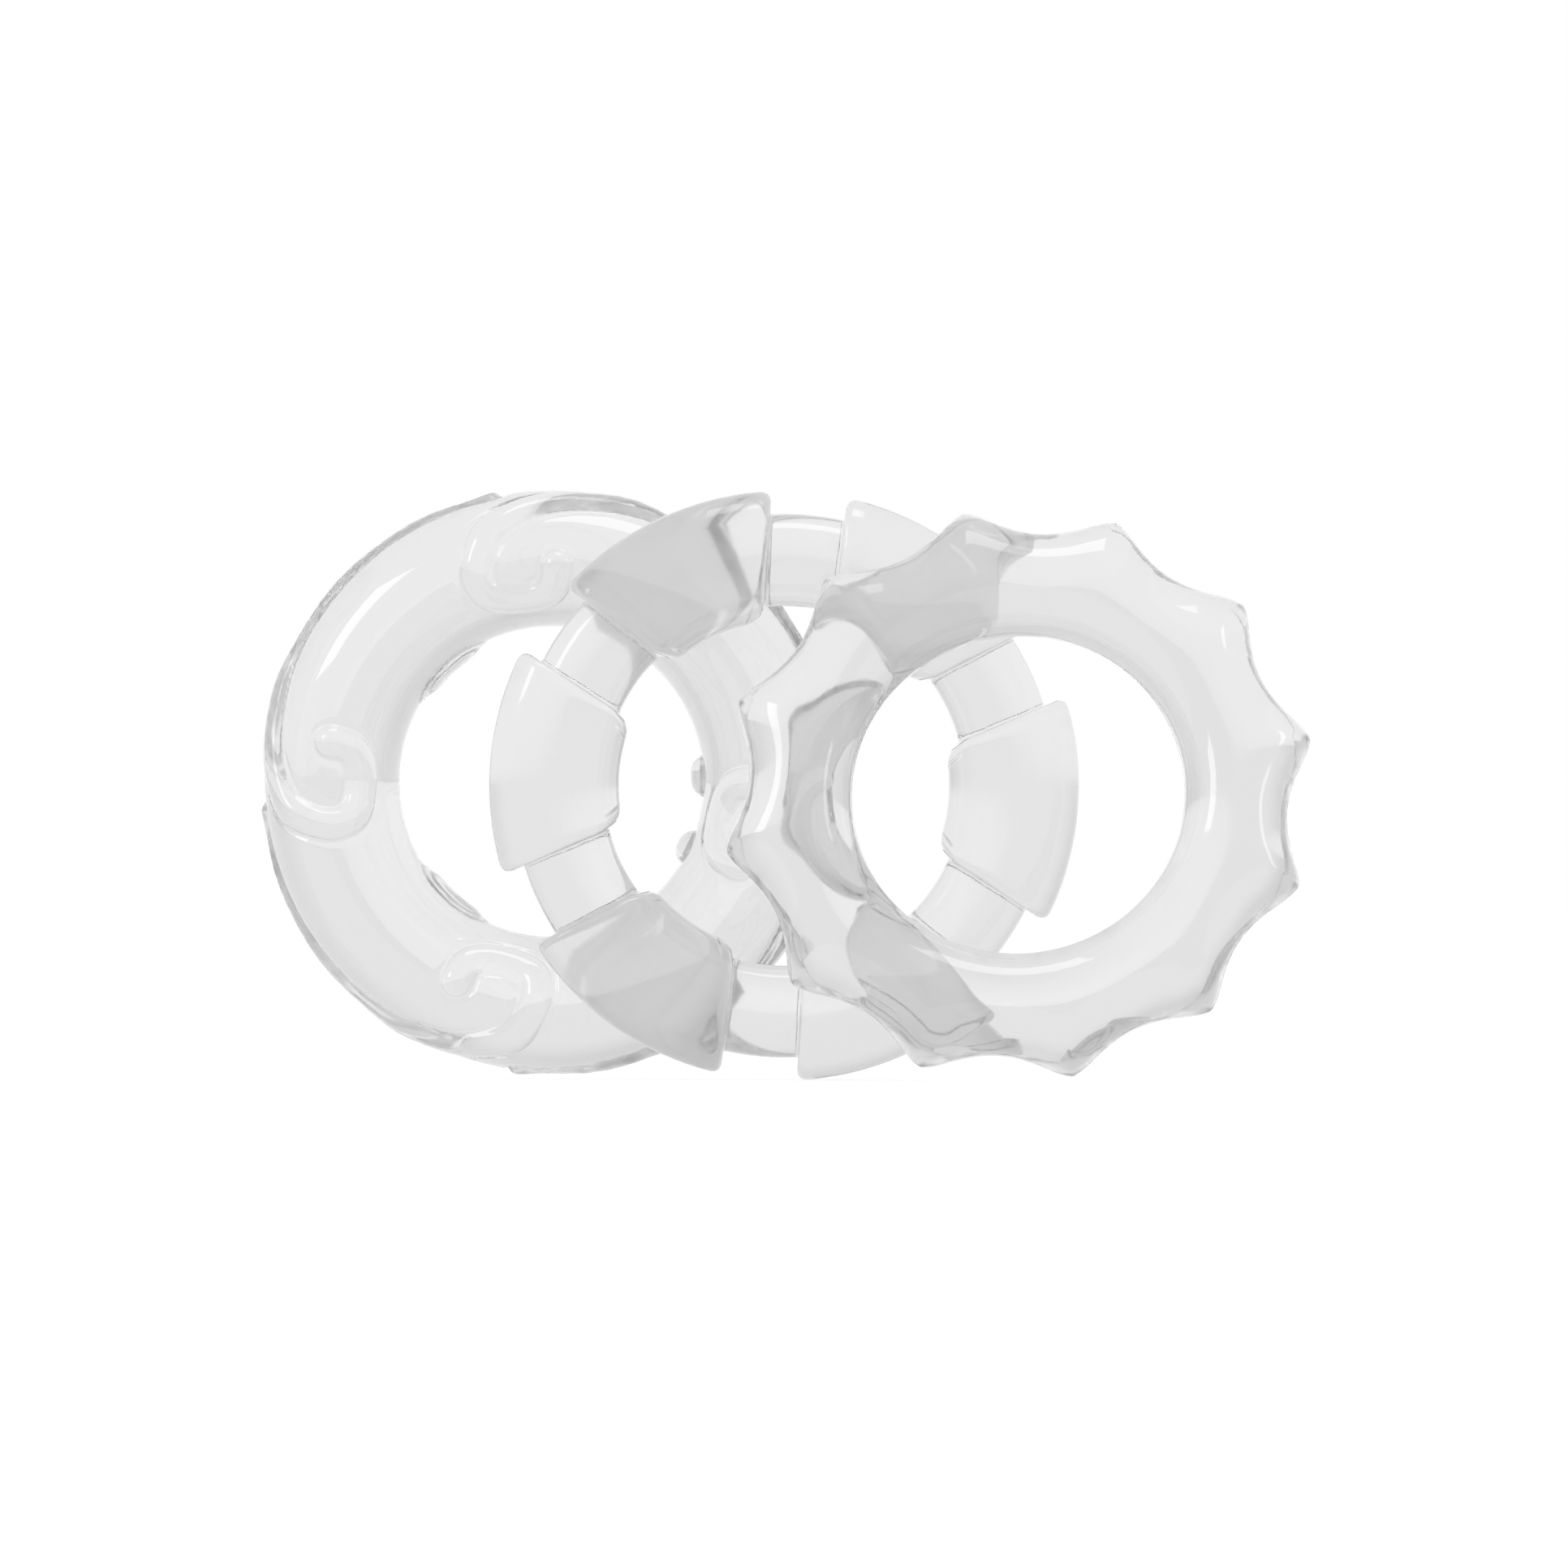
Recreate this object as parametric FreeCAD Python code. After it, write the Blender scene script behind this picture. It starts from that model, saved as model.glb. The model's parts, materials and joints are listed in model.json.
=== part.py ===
import FreeCAD, Part
import math
import os

# A set of three soft clear rings, each one moulding, standing one in front of the other.
# Millimetres. X runs along the row of rings, Y away from the viewer's side, Z up.
# Each ring is modelled with its axis along Y and its centre at the origin, then turned and placed.
# Angles around a ring are measured from +X towards +Z, as seen from the -Y side.

# Wave ring: a round ring with a raised bead that runs along its rim and curls in like a wave crest.
WAVE_MEAN_RADIUS = 15.95
WAVE_TUBE_RADIUS = 4.85
WAVE_CRESTS = [3.0, 111.0, 195.0, 272.5]    # where each crest turns inwards on the front face
WAVE_OVERLAP = 9.0             # each wave starts this many degrees behind the crest before it
WAVE_HOOK_LENGTH = 26.0        # the hook starts to leave the rim this many degrees behind its crest
WAVE_BEAD_RADIUS = 1.25
WAVE_KNUCKLE_SHARE = 1.06      # the balls at a bead's ends and joints are this much wider than it
WAVE_BEAD_DEPTH = 0.80         # how far the bead's centreline lies below the ring's surface
# Raised bumps at the hole's edge: angle, half length in degrees, angle over the section, radius,
# and how far the bump's centreline lies below the ring's surface.
WAVE_BUMPS = [
    (132.5, 5.0, 192.0, 1.25, 0.80),
    (228.5, 5.0, 192.0, 1.25, 0.80),
    (2.0, 1.5, 176.0, 1.30, 0.40),
    (335.0, 0.5, 176.0, 1.30, 0.40),
]
WAVE_YAW = 9.5

# Segment ring: six thick segments on a thinner core, with drafted gaps between them. Both have a
# rounded rectangle as their section, with straight rims and slightly domed front and back faces.
SEGMENT_MEAN_RADIUS = 16.4
SEGMENT_HALF_WIDTH = 4.6       # along the radius
SEGMENT_HALF_DEPTH = 4.2
SEGMENT_CORNER_RADIUS = 1.7
SEGMENT_CROWN = 1.2            # how much higher the faces are in the middle than at their edges
SEGMENT_COUNT = 6
SEGMENT_FIRST_GAP = 25.0
GAP_THROAT_RADIUS = 12.7       # the gap is narrowest here, near the hole
GAP_THROAT_WIDTH = 4.9
GAP_MOUTH_RADIUS = 22.7        # a radius past the rim, for the gap's draft
GAP_MOUTH_WIDTH = 5.60
GAP_BACK_RADIUS = 5.0          # a radius inside the hole, for the flare towards it
GAP_BACK_WIDTH = 10.75
SEGMENT_EDGE_RADIUS = 0.6
CORE_MEAN_RADIUS = 16.1
CORE_HALF_WIDTH = 3.25
CORE_HALF_DEPTH = 3.0
CORE_CORNER_RADIUS = 2.0
CORE_CROWN = 0.3

# Star ring: twelve blunt points with hollow curves between them. Each section is two half ellipses,
# so the hole is smooth and round, and the ridges fade out halfway over each face.
STAR_MEAN_RADIUS = 15.45
STAR_INNER_REACH = 3.60        # from the mean radius in to the hole
STAR_VALLEY_REACH = 3.70       # from the mean radius out to a valley
STAR_POINT_REACH = 5.45
STAR_HALF_DEPTH = 3.9
STAR_POINT_COUNT = 12
STAR_FIRST_POINT = 10.9
STAR_TIP_HALF_ANGLE = 1.2
STAR_LEAN = 16.1
STAR_LEAN_AXIS_ANGLE = 10.7
STAR_RAISE = 0.4               # it clings to the segment ring, just clear of the surface

# Places in the row. The segment ring is at 0, before the whole set is centred on its own box.
WAVE_CENTRE_X = -16.65
STAR_CENTRE_X = 16.62
WAVE_CENTRE_Y = 13.1           # stands clear behind the segment ring and its hole
STAR_CENTRE_Y = -12.75         # the star ring leans back on the segment ring, a small gap from it

ORIGIN = FreeCAD.Vector(0, 0, 0)
AXIS_Y = FreeCAD.Vector(0, 1, 0)
AXIS_Z = FreeCAD.Vector(0, 0, 1)


def ring_point(mean_radius, tube_radius, around, over):
    """A point on a torus: around the ring, then over its section from the rim to the front and the hole."""
    a = math.radians(around)
    o = math.radians(over)
    r = mean_radius + tube_radius * math.cos(o)
    return FreeCAD.Vector(r * math.cos(a), -tube_radius * math.sin(o), r * math.sin(a))


def arc_bead(p1, p2, p3, radius):
    """A round bead along the circular arc from p1 through p2 to p3."""
    edge = Part.Arc(p1, p2, p3).toShape()
    circle = edge.Curve
    first, last = edge.ParameterRange
    section = Part.Face(Part.Wire(Part.makeCircle(radius, edge.valueAt(first), edge.tangentAt(first))))
    return section.revolve(circle.Center, circle.Axis, math.degrees(last - first))


def wave_bead(length):
    """One wave on the front face: a long rim bead, a crest that crosses the face, and a curled end."""
    depth = WAVE_TUBE_RADIUS - WAVE_BEAD_DEPTH

    def at(behind_crest, over):
        return ring_point(WAVE_MEAN_RADIUS, depth, -behind_crest, over)

    rim_start = at(length, 5)
    rim_middle = at((length + WAVE_HOOK_LENGTH) / 2, 12)
    rim_end = at(WAVE_HOOK_LENGTH, 30)
    shoulder, brow = at(10, 57), at(3.6, 92)
    chin, curl, tip = at(9, 124), at(19, 126), at(25.3, 98)
    arcs = [
        (rim_start, rim_middle, rim_end),
        (rim_end, at(17, 41.5), shoulder),
        (shoulder, brow, chin),
        (chin, curl, tip),
    ]
    pieces = [arc_bead(*arc, WAVE_BEAD_RADIUS) for arc in arcs]
    knuckles = [rim_start, rim_end, shoulder, chin, tip]
    pieces += [Part.makeSphere(WAVE_BEAD_RADIUS * WAVE_KNUCKLE_SHARE, point) for point in knuckles]
    return pieces[0].multiFuse(pieces[1:])


def hole_bump(angle, half_length, over, radius, sunk):
    """A short bead at the edge of the hole."""
    depth = WAVE_TUBE_RADIUS - sunk
    sides = (angle - half_length, angle, angle + half_length)
    start, middle, end = [ring_point(WAVE_MEAN_RADIUS, depth, side, over) for side in sides]
    pieces = [arc_bead(start, middle, end, radius)]
    pieces += [Part.makeSphere(radius * WAVE_KNUCKLE_SHARE, point) for point in (start, end)]
    return pieces[0].multiFuse(pieces[1:])


def wave_ring():
    raised = [hole_bump(*bump) for bump in WAVE_BUMPS]
    crests_before = WAVE_CRESTS[-1:] + WAVE_CRESTS[:-1]
    for crest, before in zip(WAVE_CRESTS, crests_before):
        wave = wave_bead((crest - before) % 360 + WAVE_OVERLAP)
        wave.rotate(ORIGIN, AXIS_Y, -crest)
        raised.append(wave)
    return Part.makeTorus(WAVE_MEAN_RADIUS, WAVE_TUBE_RADIUS, ORIGIN, AXIS_Y).multiFuse(raised)


def gap_cutter():
    """The space between two segments: drafted sides, and a flare towards the hole."""
    corners = [
        (GAP_BACK_RADIUS, GAP_BACK_WIDTH / 2),
        (GAP_THROAT_RADIUS, GAP_THROAT_WIDTH / 2),
        (GAP_MOUTH_RADIUS, GAP_MOUTH_WIDTH / 2),
    ]
    outline = corners + [(radius, -half) for radius, half in reversed(corners)]
    low = -2 * SEGMENT_HALF_DEPTH
    points = [FreeCAD.Vector(radius, low, half) for radius, half in outline]
    face = Part.Face(Part.makePolygon(points + points[:1]))
    return face.extrude(AXIS_Y * -2 * low)


def rounded_rectangle_ring(mean_radius, half_width, half_depth, corner_radius, crown):
    """A full ring with a rounded rectangle as its section, crowned at the front and the back."""
    inner, outer = mean_radius - half_width, mean_radius + half_width
    edge_depth = half_depth - crown
    corners = [(inner, -edge_depth), (outer, -edge_depth), (outer, edge_depth), (inner, edge_depth)]
    front_in, front_out, back_out, back_in = [FreeCAD.Vector(radius, y, 0) for radius, y in corners]
    front_middle = FreeCAD.Vector(mean_radius, -half_depth, 0)
    back_middle = FreeCAD.Vector(mean_radius, half_depth, 0)
    section = Part.Wire([
        Part.Arc(front_in, front_middle, front_out).toShape(),
        Part.makeLine(front_out, back_out),
        Part.Arc(back_out, back_middle, back_in).toShape(),
        Part.makeLine(back_in, front_in),
    ])
    ring = Part.Face(section).revolve(ORIGIN, AXIS_Y, 360)
    circles = [edge for edge in ring.Edges if isinstance(edge.Curve, Part.Circle)]
    rims = [edge for edge in circles if abs(edge.Curve.Axis.y) > 0.5]
    return ring.makeFillet(corner_radius, rims)


def segment_ring():
    thick = rounded_rectangle_ring(
        SEGMENT_MEAN_RADIUS, SEGMENT_HALF_WIDTH, SEGMENT_HALF_DEPTH, SEGMENT_CORNER_RADIUS, SEGMENT_CROWN)
    core = rounded_rectangle_ring(
        CORE_MEAN_RADIUS, CORE_HALF_WIDTH, CORE_HALF_DEPTH, CORE_CORNER_RADIUS, CORE_CROWN)
    gaps = []
    for i in range(SEGMENT_COUNT):
        gap = gap_cutter()
        gap.rotate(ORIGIN, AXIS_Y, -(SEGMENT_FIRST_GAP + i * 360.0 / SEGMENT_COUNT))
        gaps.append(gap)
    segments = [with_rounded_ends(segment) for segment in thick.cut(gaps).Solids]
    return core.multiFuse(segments)


def with_rounded_ends(segment):
    """The segment with the edges round its two ends taken off."""
    flats = [face for face in segment.Faces if isinstance(face.Surface, Part.Plane)]
    end_faces = [face for face in flats if abs(face.Surface.Axis.y) < 0.5]
    end_edges = [edge for face in end_faces for edge in face.Edges]
    edges = [edge for edge in segment.Edges if any(edge.isSame(other) for other in end_edges)]
    return segment.makeFillet(SEGMENT_EDGE_RADIUS, edges)


def star_section(around, outer_reach):
    """The ring's section at one angle: two half ellipses that meet at the mean radius."""
    a = math.radians(around)
    out = FreeCAD.Vector(math.cos(a), 0, math.sin(a))
    centre = out * STAR_MEAN_RADIUS
    front, back = centre - AXIS_Y * STAR_HALF_DEPTH, centre + AXIS_Y * STAR_HALF_DEPTH
    return Part.Wire([
        half_ellipse(front, centre + out * outer_reach, back, centre),
        half_ellipse(back, centre - out * STAR_INNER_REACH, front, centre),
    ])


def half_ellipse(start, far_point, end, centre):
    """The half of an ellipse from start through far_point to end, as an exact rational curve."""
    corner_1 = start + far_point - centre
    corner_2 = end + far_point - centre
    poles = [start, corner_1, far_point, corner_2, end]
    corner_weight = math.sqrt(0.5)
    curve = Part.BSplineCurve()
    weights = [1, corner_weight, 1, corner_weight, 1]
    curve.buildFromPolesMultsKnots(poles, [3, 2, 3], [0, 1, 2], False, 2, weights)
    return curve.toShape()


def star_ring():
    pitch = 360.0 / STAR_POINT_COUNT
    side = STAR_TIP_HALF_ANGLE
    middle_height = 0.25           # halfway from valley to point, the hollow curve has risen this share
    quarter_reach = STAR_VALLEY_REACH + middle_height * (STAR_POINT_REACH - STAR_VALLEY_REACH)
    quarter = (pitch / 2 - side) / 2
    hollow = Part.makeLoft([
        star_section(side, STAR_POINT_REACH),
        star_section(side + quarter, quarter_reach),
        star_section(pitch / 2, STAR_VALLEY_REACH),
        star_section(pitch - side - quarter, quarter_reach),
        star_section(pitch - side, STAR_POINT_REACH),
    ], True, False)
    tip = Part.makeLoft([
        star_section(-side, STAR_POINT_REACH),
        star_section(side, STAR_POINT_REACH),
    ], True, True)
    pieces = []
    for i in range(STAR_POINT_COUNT):
        for piece in (tip, hollow):
            turned = piece.copy()
            turned.rotate(ORIGIN, AXIS_Y, -(STAR_FIRST_POINT + i * pitch))
            pieces.append(turned)
    return pieces[0].multiFuse(pieces[1:])


def stand(ring):
    """Lift a ring until it just stands on the surface."""
    ring.translate(AXIS_Z * -ring.optimalBoundingBox(False, False).ZMin)


def placed_rings():
    wave = wave_ring()
    wave.rotate(ORIGIN, AXIS_Z, -WAVE_YAW)
    wave.translate(FreeCAD.Vector(WAVE_CENTRE_X, WAVE_CENTRE_Y, 0))

    segment = segment_ring()

    star = star_ring()
    lean_angle = math.radians(STAR_LEAN_AXIS_ANGLE)
    lean_axis = FreeCAD.Vector(math.cos(lean_angle), 0, math.sin(lean_angle))
    star.rotate(ORIGIN, lean_axis, -STAR_LEAN)
    star.translate(FreeCAD.Vector(STAR_CENTRE_X, STAR_CENTRE_Y, 0))

    return {"wave_ring": wave, "segment_ring": segment, "star_ring": star}


def main():
    rings = placed_rings()
    for ring in rings.values():
        stand(ring)
    rings["star_ring"].translate(AXIS_Z * STAR_RAISE)
    box = Part.makeCompound(list(rings.values())).optimalBoundingBox(False, False)
    to_centre = FreeCAD.Vector(-box.Center.x, -box.Center.y, 0)
    os.makedirs("parts", exist_ok=True)
    for name, ring in rings.items():
        ring.translate(to_centre)
        ring.exportStep("parts/" + name + ".step")
        print(name, ring.isValid(), len(ring.Solids), round(ring.Volume, 1))
    print("moved by", to_centre)
    print("gap behind", round(rings["wave_ring"].distToShape(rings["segment_ring"])[0], 2))
    print("gap in front", round(rings["star_ring"].distToShape(rings["segment_ring"])[0], 2))


main()
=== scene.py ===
import json
import math

import bpy
import numpy as np
from mathutils import Matrix, Vector

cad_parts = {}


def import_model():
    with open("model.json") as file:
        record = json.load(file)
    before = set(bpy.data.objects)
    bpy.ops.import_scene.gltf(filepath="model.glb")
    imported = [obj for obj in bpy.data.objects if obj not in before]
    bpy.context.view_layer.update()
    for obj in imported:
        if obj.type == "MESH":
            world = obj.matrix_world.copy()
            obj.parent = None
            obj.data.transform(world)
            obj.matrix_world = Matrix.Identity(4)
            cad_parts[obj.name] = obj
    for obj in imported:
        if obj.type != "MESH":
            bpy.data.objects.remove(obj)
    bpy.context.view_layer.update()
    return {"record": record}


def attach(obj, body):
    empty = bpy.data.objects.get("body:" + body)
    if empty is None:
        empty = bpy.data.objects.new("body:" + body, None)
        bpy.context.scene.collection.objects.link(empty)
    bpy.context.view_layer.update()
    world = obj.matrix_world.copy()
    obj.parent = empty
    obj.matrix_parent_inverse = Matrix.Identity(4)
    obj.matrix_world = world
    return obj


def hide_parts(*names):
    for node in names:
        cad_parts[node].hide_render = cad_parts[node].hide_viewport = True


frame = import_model()

# Three clear soft rings, each one moulding. Metres. Each ring is made with its axis along Y and its
# centre at the origin, then turned and moved to the hole that the record's mounts give.
# "around" is the angle along the ring, from +X towards +Z. "over" is the angle round its section,
# 0 at the rim, 90 at the front and 180 at the hole.
MM = 0.001
FRONT = Vector((0, -1, 0))

WAVE_MEAN_RADIUS = 15.95 * MM
WAVE_TUBE_RADIUS = 4.85 * MM
WAVE_CRESTS = [3.0, 111.0, 195.0, 272.5]
WAVE_OVERLAP = 9.0               # each wave starts this many degrees behind the crest before it
WAVE_BEAD_DEPTH = 0.80 * MM      # how far the bead's centreline lies below the surface
WAVE_SOFTNESS = 0.12 * MM        # how softly the beads grow out of the ring
WAVE_ROWS = 688
# The bead's line over the ring: degrees behind the crest, degrees over the section, bead radius in mm.
# The part behind the hook is stretched to each wave's own length.
WAVE_LINE = [(98, 5, 1.15), (80, 8, 1.15), (60, 12, 1.2), (40, 18, 1.25), (30, 26, 1.35), (20, 37, 1.4),
             (11, 54, 1.45), (7, 69, 1.45), (3.8, 92, 1.45), (3.6, 107, 1.45), (5.5, 118, 1.43),
             (10, 125, 1.4), (17, 127, 1.4), (22, 122, 1.42), (25, 112, 1.45), (25.5, 97, 1.5)]
HOOK_LENGTH = 30.0
# Swells and knobs at the hole's edge: angle, half length in degrees, angle over the section, and in mm
# the radius and how far the centreline lies below the surface.
WAVE_SWELLS = [(132.5, 7.0, 190, 2.2, 1.75), (228.5, 7.0, 190, 2.2, 1.75)]
WAVE_KNOBS = [(2.0, 1.5, 176, 1.30, 0.40), (335.0, 0.5, 176, 1.30, 0.40)]
SWELL_SOFTNESS = 0.9 * MM
# The fine groove that the mould leaves along a bead's foot.
GROOVE_WIDTH = 0.20 * MM
GROOVE_DEPTH = 0.18 * MM
FAR = 3.0 * MM                   # a bead's distance is only worked out for the points nearer than this
# The raised surface's height is found by steps from a first guess.
FIRST_GUESS = 1.2 * MM
HEIGHT_STEPS = 9

SEGMENT_MEAN_RADIUS = 16.4 * MM
# Half width, half depth, corner radius, and how much lower the faces are at the corners.
SEGMENT_SECTION = (4.6 * MM, 4.2 * MM, 1.7 * MM, 1.2 * MM)
SEGMENT_COUNT = 6
SEGMENT_FIRST_GAP = 25.0
CORE_MEAN_RADIUS = 16.1 * MM
CORE_SECTION = (3.25 * MM, 3.0 * MM, 2.0 * MM, 0.3 * MM)
GAP_THROAT_RADIUS = 12.7 * MM
GAP_THROAT_HALF_WIDTH = 2.45 * MM
GAP_DRAFT = 0.035
GAP_INNER_FLARE = 0.38
SEGMENT_EDGE_ROUND = 0.85 * MM
SEGMENT_ROOT_ROUND = 0.25 * MM

STAR_MEAN_RADIUS = 15.45 * MM
STAR_INNER_REACH = 3.60 * MM     # from the mean radius in to the hole
STAR_VALLEY_REACH = 3.70 * MM    # from the mean radius out to a valley
STAR_POINT_REACH = 5.75 * MM
STAR_HALF_DEPTH = 3.9 * MM
STAR_POINT_COUNT = 12
STAR_FIRST_POINT = 10.9
STAR_TIP_HALF_ANGLE = 1.0
STAR_TIP_SOFTNESS = 0.45         # as a share of a point's height
STAR_ROWS_PER_POINT = 54
STAR_COLUMNS = 132

PARTING_WIDTH = 0.12 * MM
PARTING_HEIGHT = 0.03 * MM

PHOTO_WIDTH = 111.8 * MM        # what the photograph spans at the middle ring
CAMERA_DISTANCE = 3.0
CAMERA_RAISE = 0.13 * MM         # over the middle ring's hole
SENSOR_WIDTH = 36.0
FLOOR_RADIUS = 4.0
# The air's tone, from straight towards the viewer (0) to straight away behind the rings (1), in the
# lit parts of the studio and in its shaded parts. The slant is the direction's X times its Z.
LIT_TONES = [(0.0, 0.82), (0.5, 0.88), (0.90, 0.90), (0.965, 1.0)]
SHADED_TONES = [(0.0, 0.72), (0.5, 0.77), (0.90, 0.82), (0.965, 1.0)]
SLANT_RANGE = (-0.12, 0.12)
LIGHT_BOUNCES = 40               # light runs a long way inside clear rims
NOISE_RANGE = (0.35, 0.65)       # where most of a noise texture's values lie


# ---------------------------------------------------------------- meshes

def around_ring(rows):
    """Even angles around a ring, as a column."""
    return np.arange(rows)[:, None] / rows * 2 * math.pi


def section_angles(count):
    """Angles round a section, with extra lines close to the parting line at the rim and at the hole."""
    even = np.arange(count) * 360.0 / count
    extra = [base + side * step for base in (0, 180) for side in (-1, 1) for step in (0.6, 1.2)]
    return np.radians(np.unique(np.mod(np.concatenate([even, extra]), 360.0)))


def front_heavy_angles():
    """Angles round a section, closer together over the front, where the raised beads lie."""
    front = np.arange(-20, 160, 2.0)
    back = np.arange(160, 340, 4.5)
    return np.radians(np.concatenate([front, back]))


def parting_line(over, tube_radius):
    """The height of the thin line that a two-part mould leaves at the rim and at the hole."""
    offset = np.abs(np.sin(over)) * tube_radius
    return PARTING_HEIGHT * np.exp(-(offset / PARTING_WIDTH) ** 2)


def ring_surface(mean_radius, tube_radius, around, over):
    """Points of a ring whose mean radius and tube radius may change along and over it."""
    radius = mean_radius + tube_radius * np.cos(over)
    return points(radius * np.cos(around), -tube_radius * np.sin(over), radius * np.sin(around))


def ring_normal(around, over):
    return points(np.cos(over) * np.cos(around), -np.sin(over), np.cos(over) * np.sin(around))


def points(x, y, z):
    """One array of points from arrays of their coordinates."""
    return np.stack(np.broadcast_arrays(x, y, z), -1)


def turned(grid, around):
    """Points turned around the ring's own axis."""
    c, s = math.cos(around), math.sin(around)
    x, y, z = np.moveaxis(grid, -1, 0)
    return points(c * x - s * z, y, s * x + c * z)


def closed_grid_object(name, grid):
    """A smooth closed mesh from a grid that closes on itself both ways."""
    rows, columns = grid.shape[:2]
    index = np.arange(rows * columns).reshape(rows, columns)
    next_row = np.roll(index, -1, 0)
    next_column = np.roll(index, -1, 1)
    next_both = np.roll(next_row, -1, 1)
    quads = np.stack([index, next_row, next_both, next_column], -1).reshape(-1, 4)
    mesh = bpy.data.meshes.new(name)
    mesh.from_pydata(grid.reshape(-1, 3).tolist(), [], quads.tolist())
    mesh.shade_smooth()
    ring = bpy.data.objects.new(name, mesh)
    bpy.context.scene.collection.objects.link(ring)
    return ring


def spline(stations, steps):
    """A smooth line through the stations, with that many steps between each two."""
    p = np.vstack([2 * stations[0] - stations[1], stations, 2 * stations[-1] - stations[-2]])
    t = (np.arange(steps) / steps)[:, None]
    spans = []
    for a, b, c, d in zip(p, p[1:], p[2:], p[3:]):
        spans.append(0.5 * (2 * b + (c - a) * t + (2 * a - 5 * b + 4 * c - d) * t ** 2
                            + (3 * b - a - 3 * c + d) * t ** 3))
    return np.vstack(spans + [stations[-1:]])


def distance_to_bead(surface, line, radii):
    """The distance from each point to a round bead along a line of short straight steps."""
    near = np.all((surface > line.min(0) - FAR) & (surface < line.max(0) + FAR), axis=1)
    close_by = surface[near]
    nearest = np.full(len(close_by), FAR)
    for start, end, first, last in zip(line, line[1:], radii, radii[1:]):
        along = end - start
        t = np.clip((close_by - start) @ along / (along @ along), 0, 1)
        distance = np.linalg.norm(close_by - start - t[:, None] * along, axis=1)
        nearest = np.minimum(nearest, distance - first - t * (last - first))
    distances = np.full(len(surface), FAR)
    distances[near] = nearest
    return distances


def soft_union(a, b, softness):
    h = np.maximum(softness - np.abs(a - b), 0) / softness
    return np.minimum(a, b) - h * h * softness / 4


def crest_beads():
    """The waves' beads: their lines and radii."""
    beads = []
    for crest, before in zip(WAVE_CRESTS, WAVE_CRESTS[-1:] + WAVE_CRESTS[:-1]):
        behind, over, radius = np.array(WAVE_LINE).T
        stretch = ((crest - before) % 360 + WAVE_OVERLAP - HOOK_LENGTH) / (behind[0] - HOOK_LENGTH)
        behind = np.where(behind > HOOK_LENGTH, HOOK_LENGTH + (behind - HOOK_LENGTH) * stretch, behind)
        centre = ring_surface(WAVE_MEAN_RADIUS, WAVE_TUBE_RADIUS - WAVE_BEAD_DEPTH,
                              np.radians(crest - behind), np.radians(over))
        line = spline(np.column_stack([centre, radius * MM]), 4)
        beads.append((line[:, :3], line[:, 3]))
    return beads


def bump_beads(bumps):
    beads = []
    for angle, half_length, over, radius, sunk in bumps:
        ends = np.radians([angle - half_length, angle, angle + half_length])
        line = ring_surface(WAVE_MEAN_RADIUS, WAVE_TUBE_RADIUS - sunk * MM, ends, math.radians(over))
        beads.append((line, np.full(3, radius * MM)))
    return beads


def raised_by(beads, base, normal, body_height, softness, groove_depth):
    """The height of the surface over the plain tube once the beads are raised on the body."""
    height = body_height + FIRST_GUESS
    for _ in range(HEIGHT_STEPS):
        surface = base + height[:, None] * normal
        bead = np.min([distance_to_bead(surface, line, radii) for line, radii in beads], 0)
        height -= soft_union(height - body_height, bead, softness)
    at_foot = (height - body_height - bead) / GROOVE_WIDTH
    return height - groove_depth * np.exp(-at_foot ** 2)


def wave_ring():
    around = around_ring(WAVE_ROWS)
    over = front_heavy_angles()[None, :]
    base = ring_surface(WAVE_MEAN_RADIUS, WAVE_TUBE_RADIUS, around, over)
    shape = base.shape[:2]
    base = base.reshape(-1, 3)
    normal = ring_normal(around, over).reshape(-1, 3)
    height = raised_by(crest_beads(), base, normal, np.zeros(len(base)), WAVE_SOFTNESS, GROOVE_DEPTH)
    height = raised_by(bump_beads(WAVE_KNOBS), base, normal, height, WAVE_SOFTNESS, GROOVE_DEPTH)
    height = raised_by(bump_beads(WAVE_SWELLS), base, normal, height, SWELL_SOFTNESS, 0)
    height += np.broadcast_to(parting_line(over, WAVE_TUBE_RADIUS), shape).reshape(-1)
    return closed_grid_object("wave_ring_gel", (base + height[:, None] * normal).reshape(shape + (3,)))


def rounded_rectangle(half_width, half_depth, corner_radius, crown):
    """A section: how far out of the mean radius and how far to the front, from the rim over the front."""
    corner = np.radians(np.linspace(0, 90, 11))
    across = np.array([-0.95, -0.8, -0.65, -0.5, -0.35, -0.2, -0.1, -0.06, -0.03])
    across = np.concatenate([across, [0], -across[::-1]])
    flat_width, flat_depth = half_width - corner_radius, half_depth - corner_radius
    side_out = np.full(len(across), half_width)
    side_front = np.full(len(across), half_depth)
    out, front = [], []
    for turn, out_sign, front_sign in ((0, 1, 1), (1, -1, 1), (2, -1, -1), (3, 1, -1)):
        angle = corner + math.radians(90 * turn)
        out.append(out_sign * flat_width + corner_radius * np.cos(angle))
        front.append(front_sign * flat_depth + corner_radius * np.sin(angle))
        if turn % 2:
            out.append(out_sign * side_out)
            front.append(front_sign * across * flat_depth * -1)
        else:
            out.append(out_sign * across * flat_width * -1)
            front.append(front_sign * side_front)
    out, front = np.concatenate(out), np.concatenate(front)
    front *= 1 - crown / half_depth * (out / half_width) ** 2
    on_side = np.abs(out) > half_width * 0.999
    line = PARTING_HEIGHT * np.exp(-(front / PARTING_WIDTH) ** 2) * on_side * np.sign(out)
    return out + line, front


def gap_half_width(from_centre):
    """Half the width of the gap between two segments, at a distance from the ring's centre."""
    past_throat = from_centre - GAP_THROAT_RADIUS
    return GAP_THROAT_HALF_WIDTH + np.where(past_throat > 0, GAP_DRAFT, -GAP_INNER_FLARE) * past_throat


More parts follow.
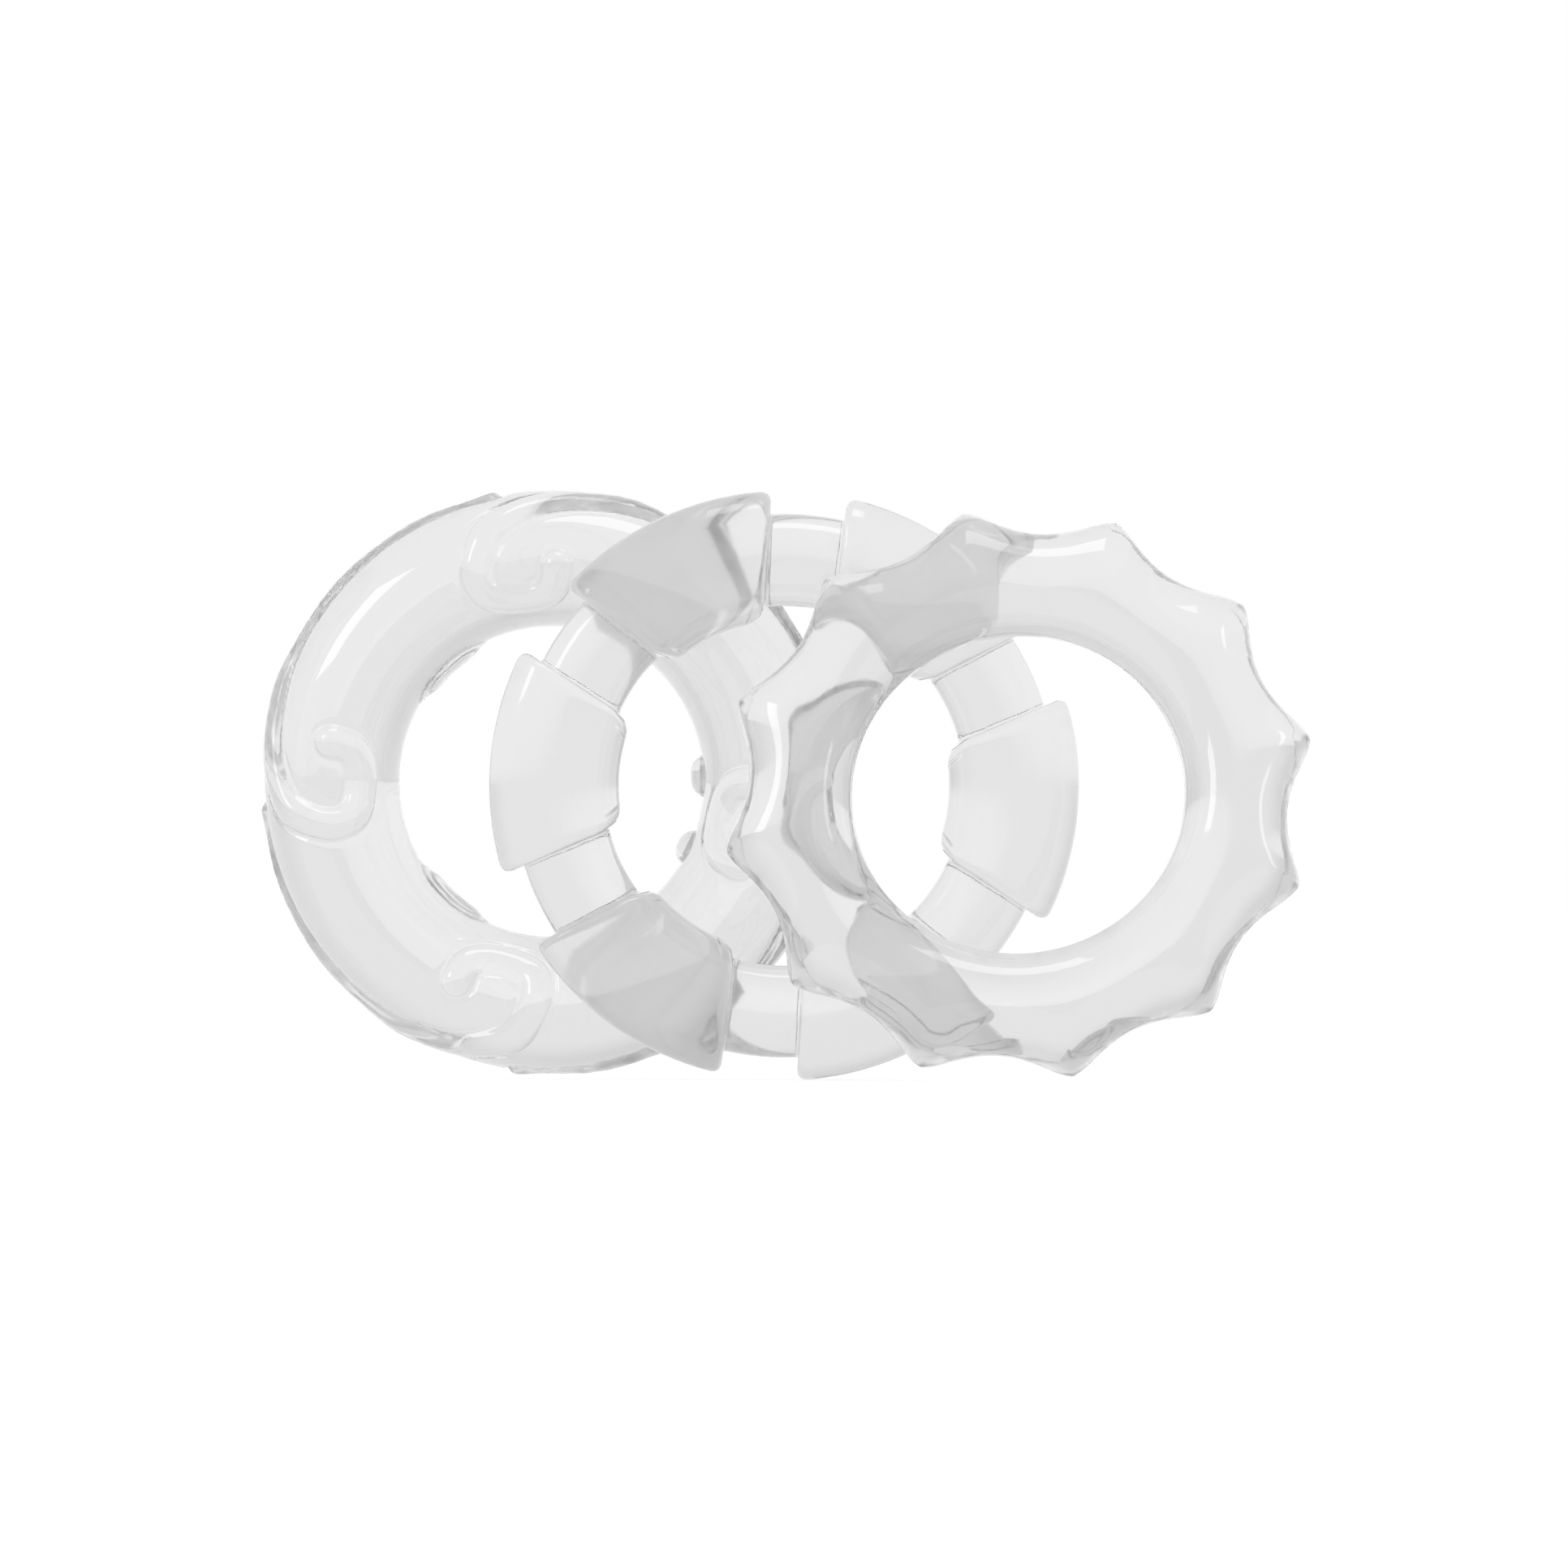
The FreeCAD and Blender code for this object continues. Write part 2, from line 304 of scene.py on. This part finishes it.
def gap_edge(radius):
    """The angle from the gap's middle at which a ring of that radius meets the gap's side."""
    edge = gap_half_width(radius) / radius
    for _ in range(4):
        edge = np.arcsin(gap_half_width(radius * np.cos(edge)) / radius)
    return edge


def bend(before, corner, after, reach, steps):
    """A rounded corner between two runs, cut back from the corner by the reach on both sides."""
    start = corner + (before - corner) / np.linalg.norm(before - corner, axis=-1, keepdims=True) * reach
    end = corner + (after - corner) / np.linalg.norm(after - corner, axis=-1, keepdims=True) * reach
    along = np.linspace(0, 1, steps)
    return [start * (1 - t) ** 2 + corner * 2 * t * (1 - t) + end * t ** 2 for t in along]


def segment_ring():
    half_pitch = math.pi / SEGMENT_COUNT
    core_out, core_front = rounded_rectangle(*CORE_SECTION)
    segment_out, segment_front = rounded_rectangle(*SEGMENT_SECTION)
    core_radius = CORE_MEAN_RADIUS + core_out
    segment_radius = SEGMENT_MEAN_RADIUS + segment_out
    core_edge, segment_edge = gap_edge(core_radius), gap_edge(segment_radius)

    def on_core(angle):
        return points(core_radius * np.cos(angle), -core_front, core_radius * np.sin(angle))

    def on_segment(angle):
        return points(segment_radius * np.cos(angle), -segment_front, segment_radius * np.sin(angle))

    root, edge = on_core(core_edge), on_segment(segment_edge)
    root_reach = SEGMENT_ROOT_ROUND / CORE_MEAN_RADIUS
    edge_reach = SEGMENT_EDGE_ROUND / SEGMENT_MEAN_RADIUS
    rows = [on_core(t * (core_edge - root_reach)) for t in np.linspace(0, 0.97, 10)]
    rows += bend(on_core(core_edge - root_reach), root, edge, SEGMENT_ROOT_ROUND, 5)
    rows += [root * (1 - t) + edge * t for t in (0.35, 0.5, 0.65)]
    rows += bend(root, edge, on_segment(segment_edge + edge_reach), SEGMENT_EDGE_ROUND, 9)
    rest = segment_edge + edge_reach * 1.3
    rows += [on_segment(rest + t * (half_pitch - rest)) for t in np.linspace(0, 1, 15)]
    half = np.array(rows)
    mirrored = half[1:-1][::-1] * [1, 1, -1]
    mirrored = turned(mirrored, 2 * half_pitch)
    period = np.concatenate([half, mirrored])
    first_gap = math.radians(SEGMENT_FIRST_GAP)
    turns = [turned(period, first_gap + 2 * i * half_pitch) for i in range(SEGMENT_COUNT)]
    return closed_grid_object("segment_ring_gel", np.concatenate(turns))


def star_reach(around):
    """How far the ring reaches out of its mean radius: blunt points with hollow curves between them."""
    pitch = 360.0 / STAR_POINT_COUNT
    from_point = np.degrees(around) - STAR_FIRST_POINT
    from_valley = np.abs(np.mod(from_point, pitch) - pitch / 2)
    share = (from_valley / (pitch / 2 - STAR_TIP_HALF_ANGLE)) ** 2
    share = soft_union(share, np.ones_like(share), STAR_TIP_SOFTNESS)
    return STAR_VALLEY_REACH + (STAR_POINT_REACH - STAR_VALLEY_REACH) * share


def star_ring():
    """Half-ellipse sections: the hole is round, and the ridges fade out halfway over each face."""
    around = around_ring(STAR_POINT_COUNT * STAR_ROWS_PER_POINT)
    over = section_angles(STAR_COLUMNS)[None, :]
    reach = np.where(np.cos(over) > 0, star_reach(around), STAR_INNER_REACH)
    radius = STAR_MEAN_RADIUS + (reach + parting_line(over, reach)) * np.cos(over)
    depth = -STAR_HALF_DEPTH * np.sin(over)
    grid = points(radius * np.cos(around), depth, radius * np.sin(around))
    return closed_grid_object("star_ring_gel", grid)


def hole_of(node):
    return next(mount for mount in frame["record"]["mounts"] if mount["name"] == node + "_hole")


def place(ring, node):
    """Puts a ring's mesh where the record says that the CAD ring's hole is."""
    hole = hole_of(node)
    turn = FRONT.rotation_difference(Vector(hole["axis"])).to_matrix().to_4x4()
    ring.data.transform(Matrix.Translation(hole["pos_m"]) @ turn)
    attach(ring, node)
    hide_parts(node)


# ---------------------------------------------------------------- materials

def new_material(name):
    material = bpy.data.materials.new(name)
    material.use_nodes = True
    return material, material.node_tree.nodes, material.node_tree.links


def noise(nodes, links, vector, scale, detail):
    texture = nodes.new("ShaderNodeTexNoise")
    texture.inputs["Scale"].default_value = scale
    texture.inputs["Detail"].default_value = detail
    links.new(vector, texture.inputs["Vector"])
    return texture.outputs["Fac"]


def map_range(nodes, links, value, given, wanted):
    node = nodes.new("ShaderNodeMapRange")
    node.inputs["From Min"].default_value, node.inputs["From Max"].default_value = given
    node.inputs["To Min"].default_value, node.inputs["To Max"].default_value = wanted
    links.new(value, node.inputs["Value"])
    return node.outputs["Result"]


def bump(nodes, links, height, distance, strength, normal=None):
    node = nodes.new("ShaderNodeBump")
    node.inputs["Strength"].default_value = strength
    node.inputs["Distance"].default_value = distance
    links.new(height, node.inputs["Height"])
    if normal:
        links.new(normal, node.inputs["Normal"])
    return node.outputs["Normal"]


def clear_gel(name, flow_scale, haze_range):
    """Clear elastomer: a faintly hazy body under a glossy skin, with faint flow waves from moulding."""
    material, nodes, links = new_material(name)
    shader = nodes["Principled BSDF"]
    shader.inputs["Base Color"].default_value = (0.78, 0.78, 0.78, 1)
    shader.inputs["Transmission Weight"].default_value = 1.0
    shader.inputs["IOR"].default_value = 1.42
    shader.inputs["Coat Weight"].default_value = 0.5
    shader.inputs["Coat Roughness"].default_value = 0.02
    absorption = nodes.new("ShaderNodeVolumeAbsorption")
    absorption.inputs["Color"].default_value = (0.5, 0.5, 0.5, 1)
    absorption.inputs["Density"].default_value = 3.0
    links.new(absorption.outputs["Volume"], nodes["Material Output"].inputs["Volume"])
    place_on_ring = nodes.new("ShaderNodeTexCoord").outputs["Object"]
    haze = noise(nodes, links, place_on_ring, 260, 3)
    links.new(map_range(nodes, links, haze, NOISE_RANGE, haze_range), shader.inputs["Roughness"])
    flow = noise(nodes, links, place_on_ring, flow_scale, 1)
    waves = bump(nodes, links, flow, 0.4 * MM, 0.2)
    links.new(waves, shader.inputs["Normal"])
    fine = noise(nodes, links, place_on_ring, 1400, 2)
    links.new(bump(nodes, links, fine, 0.02 * MM, 0.1, waves), shader.inputs["Coat Normal"])
    return material


def paper_white():
    material, nodes, links = new_material("studio_white")
    shader = nodes["Principled BSDF"]
    shader.inputs["Roughness"].default_value = 0.8
    shader.inputs["Specular IOR Level"].default_value = 0.1
    shader.inputs["Emission Color"].default_value = (1, 1, 1, 1)
    shader.inputs["Emission Strength"].default_value = 0.78
    grain = noise(nodes, links, nodes.new("ShaderNodeTexCoord").outputs["Object"], 60, 2)
    tone = nodes.new("ShaderNodeMix")
    tone.data_type = "RGBA"
    tone.inputs["A"].default_value = (0.29, 0.29, 0.29, 1)
    tone.inputs["B"].default_value = (0.31, 0.31, 0.31, 1)
    links.new(grain, tone.inputs["Factor"])
    links.new(tone.outputs["Result"], shader.inputs["Base Color"])
    return material


# ---------------------------------------------------------------- studio

def floor():
    bpy.ops.mesh.primitive_circle_add(vertices=96, radius=FLOOR_RADIUS, fill_type="NGON")
    disc = bpy.context.object
    disc.name = "studio_floor"
    disc.data.materials.append(paper_white())


def area_light(name, place_at, size, brightness):
    """A soft box that faces the rings. Its power gives the stated brightness as seen from them."""
    data = bpy.data.lights.new(name, "AREA")
    data.shape = "RECTANGLE"
    data.size, data.size_y = size
    data.energy = brightness * math.pi * size[0] * size[1]
    light = bpy.data.objects.new(name, data)
    light.location = place_at
    light.visible_transmission = False      # no glaring spots of it through the tips
    light.rotation_euler = (Vector((0, 0, 0.02)) - Vector(place_at)).to_track_quat("-Z", "Y").to_euler()
    bpy.context.scene.collection.objects.link(light)


def tone_ramp(nodes, links, value, tones):
    node = nodes.new("ShaderNodeValToRGB")
    ramp = node.color_ramp
    while len(ramp.elements) < len(tones):
        ramp.elements.new(0.5)
    for element, (position, tone) in zip(ramp.elements, tones):
        element.position = position
        element.color = (tone, tone, tone, 1)
    links.new(value, node.inputs["Fac"])
    return node.outputs["Color"]


def world():
    """Pale air: white far behind the rings, and slightly brighter up to the right than up to the left."""
    air = bpy.data.worlds.new("studio_air")
    air.use_nodes = True
    nodes, links = air.node_tree.nodes, air.node_tree.links
    direction = nodes.new("ShaderNodeTexCoord").outputs["Generated"]
    split = nodes.new("ShaderNodeSeparateXYZ")
    links.new(direction, split.inputs["Vector"])
    depth = map_range(nodes, links, split.outputs["Y"], (-1, 1), (0, 1))
    slant = nodes.new("ShaderNodeMath")
    slant.operation = "MULTIPLY"
    links.new(split.outputs["X"], slant.inputs[0])
    links.new(split.outputs["Z"], slant.inputs[1])
    tone = nodes.new("ShaderNodeMix")
    tone.data_type = "RGBA"
    links.new(map_range(nodes, links, slant.outputs["Value"], SLANT_RANGE, (1, 0)), tone.inputs["Factor"])
    for tones, socket in ((LIT_TONES, "A"), (SHADED_TONES, "B")):
        links.new(tone_ramp(nodes, links, depth, tones), tone.inputs[socket])
    links.new(tone.outputs["Result"], nodes["Background"].inputs["Color"])
    bpy.context.scene.world = air


def studio():
    floor()
    world()
    area_light("top_softbox", (0, -0.15, 0.9), (0.5, 0.35), 2.2)
    area_light("left_window", (-0.75, -0.45, 0.45), (0.25, 0.35), 3.0)
    area_light("right_strip", (0.8, -0.35, 0.4), (0.12, 0.5), 2.5)
    scene = bpy.context.scene
    scene.view_settings.view_transform = "Standard"
    scene.cycles.max_bounces = LIGHT_BOUNCES
    scene.cycles.glossy_bounces = LIGHT_BOUNCES
    scene.cycles.transmission_bounces = LIGHT_BOUNCES


def camera():
    middle = Vector(hole_of("segment_ring")["pos_m"]) + Vector((0, 0, CAMERA_RAISE))
    data = bpy.data.cameras.new("camera")
    data.sensor_width = SENSOR_WIDTH
    data.lens = SENSOR_WIDTH * CAMERA_DISTANCE / PHOTO_WIDTH
    data.clip_start = 0.05
    data.clip_end = 20
    view = bpy.data.objects.new("camera", data)
    view.location = (middle.x, middle.y - CAMERA_DISTANCE, middle.z)
    view.rotation_euler = (math.radians(90), 0, 0)
    bpy.context.scene.collection.objects.link(view)
    bpy.context.scene.camera = view


# ---------------------------------------------------------------- the set

camera()
studio()
RINGS = [
    ("wave_ring", wave_ring, 70, (0.03, 0.07)),
    ("segment_ring", segment_ring, 60, (0.10, 0.15)),
    ("star_ring", star_ring, 80, (0.06, 0.11)),
]
for node, make, flow_scale, haze_range in RINGS:
    ring = make()
    ring.data.materials.append(clear_gel(node + "_gel", flow_scale, haze_range))
    place(ring, node)
